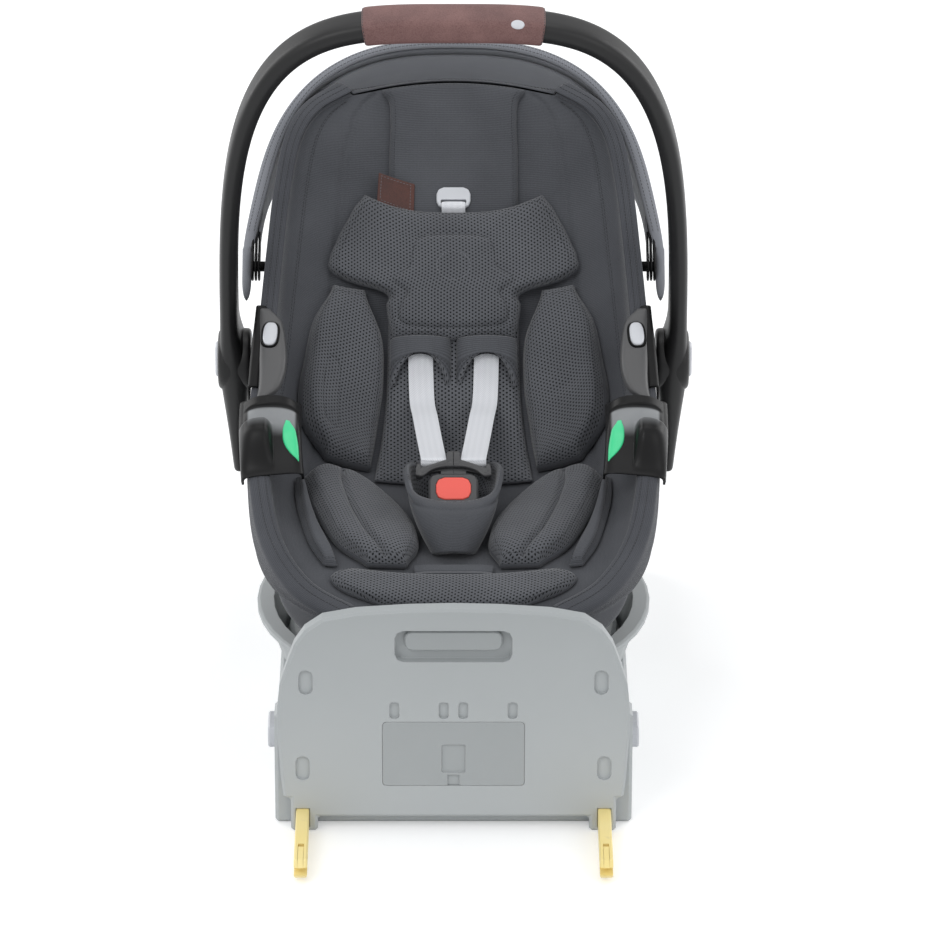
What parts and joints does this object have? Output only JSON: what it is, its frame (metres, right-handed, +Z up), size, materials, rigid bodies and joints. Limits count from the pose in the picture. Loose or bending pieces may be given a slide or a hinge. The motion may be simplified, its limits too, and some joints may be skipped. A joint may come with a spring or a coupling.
{
  "type": "infant car seat on swivel base",
  "caption": "Rear-facing infant carrier seat with handle, canopy, padded inlay and harness, on an anchored swivel base with sliding anchor arms and a folding support leg.",
  "frame": {"origin": "on the base's underside, under the seat's swivel axis", "axes": "+Z up, +X to the right of a viewer who faces the front plate, +Y from the front plate towards the seat's head"},
  "size_m": [0.461, 0.7755, 0.6904],
  "materials": {
    "base_plastic": "pale grey moulded housing",
    "steel": "zinc plated",
    "arm_paint": "pale yellow paint",
    "white_plastic": "light grey",
    "rubber": "black foot",
    "grey_plastic": "dark grey",
    "black_plastic": "matte black",
    "foam": "expanded crash foam",
    "ribbed_fabric": "fine ribbed dark grey",
    "knit_fabric": "perforated dark grey knit",
    "canopy_fabric": "mid grey weave",
    "webbing": "light grey webbing",
    "leather": "mauve brown, stitched",
    "red_plastic": "bright red",
    "green_plastic": "bright green"
  },
  "bodies": {
    "base": {"base_chassis": "base_plastic", "front_plate": "base_plastic", "storage_cover": "base_plastic", "base_bowl": "base_plastic", "bearing_ring": "steel", "leg_hinge_pin": "steel"},
    "turn_lever": {"turn_lever": "base_plastic"},
    "arm_left": {"isofix_arm_left": "arm_paint"},
    "arm_right": {"isofix_arm_right": "arm_paint"},
    "jaw_left": {"isofix_jaw_left": "steel"},
    "jaw_right": {"isofix_jaw_right": "steel"},
    "clip_left": {"isofix_clip_left": "white_plastic"},
    "clip_right": {"isofix_clip_right": "white_plastic"},
    "leg": {"leg_outer_tube": "base_plastic"},
    "leg_button": {"leg_button": "grey_plastic"},
    "leg_extension": {"leg_inner_tube": "steel", "leg_foot": "rubber"},
    "turntable": {"turntable": "base_plastic", "seat_cradle": "base_plastic"},
    "carrier": {"seat_shell": "black_plastic", "foam_liner": "foam", "seat_cover": "ribbed_fabric", "cover_collar": "ribbed_fabric", "inlay_back": "knit_fabric", "inlay_wing_left": "knit_fabric", "inlay_wing_right": "knit_fabric", "thigh_pad_left": "knit_fabric", "thigh_pad_right": "knit_fabric", "side_bolster_left": "ribbed_fabric", "side_bolster_right": "ribbed_fabric", "front_pad": "knit_fabric", "crotch_pad": "ribbed_fabric", "buckle_housing": "grey_plastic", "harness_strap_left": "webbing", "harness_strap_right": "webbing", "shoulder_pad_left": "ribbed_fabric", "shoulder_pad_right": "ribbed_fabric", "side_trim_left": "grey_plastic", "side_trim_right": "grey_plastic", "belt_guide_left": "black_plastic", "belt_guide_right": "black_plastic", "belt_insert_left": "green_plastic", "belt_insert_right": "green_plastic"},
    "headrest": {"headrest_panel": "ribbed_fabric", "head_pillow": "knit_fabric", "pull_clip": "white_plastic"},
    "buckle_button": {"buckle_button": "red_plastic"},
    "adjuster_flap": {"adjuster_flap": "ribbed_fabric"},
    "adjuster_button": {"adjuster_button": "grey_plastic"},
    "tongue_left": {"tongue_left": "grey_plastic"},
    "tongue_right": {"tongue_right": "grey_plastic"},
    "side_button_left": {"side_button_left": "white_plastic"},
    "side_button_right": {"side_button_right": "white_plastic"},
    "handle": {"handle_bar": "black_plastic", "grip_cover": "leather"},
    "handle_button_left": {"handle_button_left": "white_plastic"},
    "handle_button_right": {"handle_button_right": "white_plastic"},
    "canopy_front": {"canopy_front": "canopy_fabric"},
    "canopy_middle": {"canopy_middle": "canopy_fabric"},
    "canopy_rear": {"canopy_rear": "canopy_fabric"}
  },
  "joints": [
    {"name": "swivel", "type": "hinge", "parent": "base", "child": "turntable", "pos_m": [0, 0, 0.062], "axis": [0, 0, 1], "range_deg": [-90, 90]},
    {"name": "carrier_lift", "type": "slide", "parent": "turntable", "child": "carrier", "axis": [0, 0, 1], "range_m": [0, 0.15]},
    {"name": "turn_lever_press", "type": "slide", "parent": "base", "child": "turn_lever", "axis": [0, 0, -1], "range_m": [0, 0.006], "stiffness_N_per_m": 600},
    {"name": "arm_slide_left", "type": "slide", "parent": "base", "child": "arm_left", "axis": [0, 1, 0], "range_m": [0, 0.07]},
    {"name": "arm_slide_right", "type": "slide", "parent": "base", "child": "arm_right", "axis": [0, 1, 0], "range_m": [0, 0.07]},
    {"name": "jaw_swing_left", "type": "hinge", "parent": "arm_left", "child": "jaw_left", "pos_m": [-0.14, -0.354, 0.01628], "axis": [-1, 0, 0], "range_deg": [0, 18], "stiffness_Nm_per_rad": 0.5},
    {"name": "jaw_swing_right", "type": "hinge", "parent": "arm_right", "child": "jaw_right", "pos_m": [0.14, -0.354, 0.01628], "axis": [-1, 0, 0], "range_deg": [0, 18], "stiffness_Nm_per_rad": 0.5},
    {"name": "clip_press_left", "type": "slide", "parent": "base", "child": "clip_left", "axis": [1, 0, 0], "range_m": [0, 0.004], "stiffness_N_per_m": 600},
    {"name": "clip_press_right", "type": "slide", "parent": "base", "child": "clip_right", "axis": [-1, 0, 0], "range_m": [0, 0.004], "stiffness_N_per_m": 600},
    {"name": "leg_fold", "type": "hinge", "parent": "base", "child": "leg", "pos_m": [0, 0.268, 0.027], "axis": [1, 0, 0], "range_deg": [0, 95]},
    {"name": "leg_length", "type": "slide", "parent": "leg", "child": "leg_extension", "axis": [0, -1, 0], "range_m": [0, 0.14]},
    {"name": "leg_button_press", "type": "slide", "parent": "leg", "child": "leg_button", "axis": [0, 0, 1], "range_m": [0, 0.0025], "stiffness_N_per_m": 800},
    {"name": "headrest_height", "type": "slide", "parent": "carrier", "child": "headrest", "axis": [0, 0.6691, 0.7431], "range_m": [0, 0.03]},
    {"name": "tongue_release_left", "type": "slide", "parent": "carrier", "child": "tongue_left", "axis": [0, 0.8192, 0.5736], "range_m": [0, 0.028], "deforming": ["harness_strap_left"]},
    {"name": "tongue_release_right", "type": "slide", "parent": "carrier", "child": "tongue_right", "axis": [0, 0.8192, 0.5736], "range_m": [0, 0.028], "deforming": ["harness_strap_right"]},
    {"name": "buckle_button_press", "type": "slide", "parent": "carrier", "child": "buckle_button", "axis": [0, 0.5736, -0.8192], "range_m": [0, 0.0025], "stiffness_N_per_m": 1000},
    {"name": "adjuster_flap_lift", "type": "hinge", "parent": "carrier", "child": "adjuster_flap", "pos_m": [0, -0.15176, 0.21489], "axis": [-1, 0, 0], "range_deg": [0, 60]},
    {"name": "adjuster_button_press", "type": "slide", "parent": "carrier", "child": "adjuster_button", "axis": [0, 0.1746, -0.9846], "range_m": [0, 0.002], "stiffness_N_per_m": 800},
    {"name": "side_button_press_left", "type": "slide", "parent": "carrier", "child": "side_button_left", "axis": [0, 0.4129, -0.9108], "range_m": [0, 0.002], "stiffness_N_per_m": 800},
    {"name": "side_button_press_right", "type": "slide", "parent": "carrier", "child": "side_button_right", "axis": [0, 0.4129, -0.9108], "range_m": [0, 0.002], "stiffness_N_per_m": 800},
    {"name": "handle_swing", "type": "hinge", "parent": "carrier", "child": "handle", "pos_m": [0, 0.122, 0.304], "axis": [1, 0, 0], "range_deg": [-100, 50]},
    {"name": "handle_button_press_left", "type": "slide", "parent": "handle", "child": "handle_button_left", "axis": [1, 0, 0], "range_m": [0, 0.0025], "stiffness_N_per_m": 1000},
    {"name": "handle_button_press_right", "type": "slide", "parent": "handle", "child": "handle_button_right", "axis": [-1, 0, 0], "range_m": [0, 0.0025], "stiffness_N_per_m": 1000},
    {"name": "canopy_front_swing", "type": "hinge", "parent": "carrier", "child": "canopy_front", "pos_m": [0, 0.167, 0.382], "axis": [1, 0, 0], "range_deg": [0, 66]},
    {"name": "canopy_middle_swing", "type": "hinge", "parent": "carrier", "child": "canopy_middle", "pos_m": [0, 0.167, 0.382], "axis": [1, 0, 0], "range_deg": [0, 44.1]},
    {"name": "canopy_rear_swing", "type": "hinge", "parent": "carrier", "child": "canopy_rear", "pos_m": [0, 0.167, 0.382], "axis": [1, 0, 0], "range_deg": [0, 22.1]}
  ],
  "couplings": [
    {"joint": "canopy_middle_swing", "follows": "canopy_front_swing", "ratio": 0.66666},
    {"joint": "canopy_rear_swing", "follows": "canopy_front_swing", "ratio": 0.33333}
  ]
}
